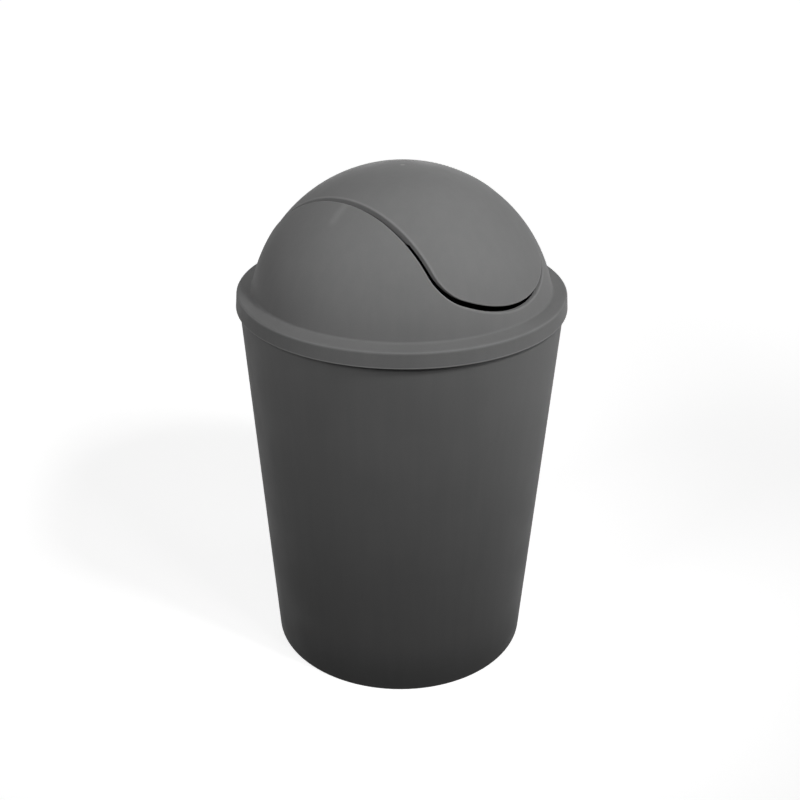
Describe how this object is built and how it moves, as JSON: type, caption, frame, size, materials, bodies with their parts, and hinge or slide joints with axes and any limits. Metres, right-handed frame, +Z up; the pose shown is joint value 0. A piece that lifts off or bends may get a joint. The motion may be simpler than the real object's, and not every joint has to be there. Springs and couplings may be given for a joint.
{
  "type": "swing-top waste bin",
  "caption": "Small round waste bin: tapered bucket, lift-off domed lid, and a double-acting swing flap that completes the dome.",
  "frame": {"origin": "centre of the base on the floor", "axes": "+Z up the bin's axis, +X along the flap's pivot, -Y towards the front, the side the flap is drawn from"},
  "size_m": [0.19, 0.1899, 0.3],
  "materials": {
    "bucket": "dark grey moulded polypropylene, fine matt texture",
    "lid": "dark grey moulded polypropylene, fine matt texture",
    "flap": "dark grey moulded polypropylene, fine matt texture"
  },
  "bodies": {
    "bin": {"bin_body": "bucket"},
    "lid": {"lid_dome": "lid"},
    "flap": {"swing_flap": "flap"}
  },
  "joints": [
    {"name": "lid_lift", "type": "slide", "parent": "bin", "child": "lid", "axis": [0, 0, 1], "range_m": [0, 0.12]},
    {"name": "flap_swing", "type": "hinge", "parent": "lid", "child": "flap", "pos_m": [0, 0, 0.28103], "axis": [1, 0, 0], "range_deg": [-69.35, 70.65]}
  ]
}
